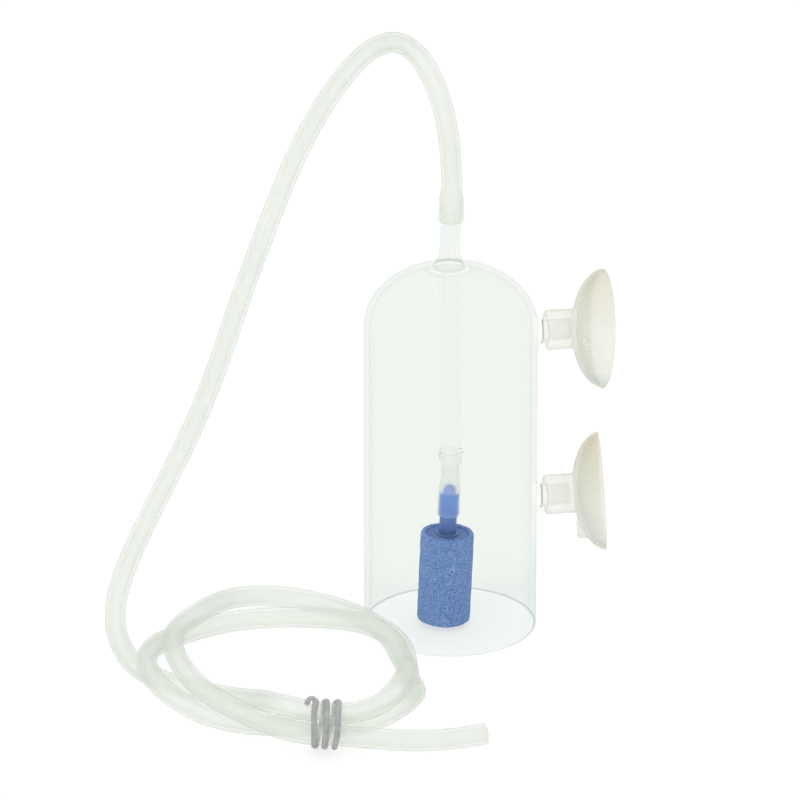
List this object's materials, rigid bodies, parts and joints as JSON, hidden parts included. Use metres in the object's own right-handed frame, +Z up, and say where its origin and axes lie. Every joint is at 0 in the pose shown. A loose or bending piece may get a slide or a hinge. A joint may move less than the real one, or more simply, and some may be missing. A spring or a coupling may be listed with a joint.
{
  "type": "aquarium carbon dioxide diffuser",
  "caption": "Domed glass bell with an air stone on an inner glass tube, suction cups on glass pegs, and a silicone supply hose laid in tied loops.",
  "frame": {"origin": "on the surface that the bell's rim stands on, halfway between the bell's far side and the cups' rims, in the middle of the bell's width", "axes": "+Z up along the bell, +X along the pegs towards the tank wall that the cups hold on to, -Y the side where the hose's loops lie"},
  "size_m": [0.1458, 0.1338, 0.1731],
  "materials": {
    "borosilicate_glass": "clear, drawn and fused glass, faint green edges",
    "cup_silicone": "translucent warm white moulded silicone, satin",
    "hose_silicone": "translucent milky extruded silicone, satin",
    "blue_plastic": "bright blue moulded plastic, satin",
    "blue_mineral": "blue bonded mineral grains, matt and porous",
    "grey_plastic": "thin grey coat on wire, satin",
    "steel_wire": "thin soft wire, bare at its cut ends"
  },
  "bodies": {
    "bell": {"glass_bell": "borosilicate_glass", "inlet_tube": "borosilicate_glass", "upper_peg": "borosilicate_glass", "lower_peg": "borosilicate_glass", "sleeve_upper_half": "hose_silicone", "hose_mouth": "hose_silicone", "supply_hose": "hose_silicone", "twist_tie_coat": "grey_plastic", "twist_tie_wire": "steel_wire"},
    "upper_cup": {"upper_suction_cup": "cup_silicone"},
    "lower_cup": {"lower_suction_cup": "cup_silicone"},
    "stone": {"sleeve_lower_half": "hose_silicone", "stone_stem": "blue_plastic", "air_stone": "blue_mineral"}
  },
  "joints": [
    {"name": "upper_cup_swivel", "type": "hinge", "parent": "bell", "child": "upper_cup", "pos_m": [0.02115, 0, 0.0895], "axis": [1, 0, 0], "continuous": true},
    {"name": "lower_cup_swivel", "type": "hinge", "parent": "bell", "child": "lower_cup", "pos_m": [0.02115, 0, 0.038], "axis": [1, 0, 0], "continuous": true},
    {"name": "stone_swing", "type": "hinge", "parent": "bell", "child": "stone", "pos_m": [-0.00985, 0, 0.0467], "axis": [0, 1, 0], "range_deg": [-12, 12], "stiffness_Nm_per_rad": 0.009, "springref_deg": 0.92}
  ]
}
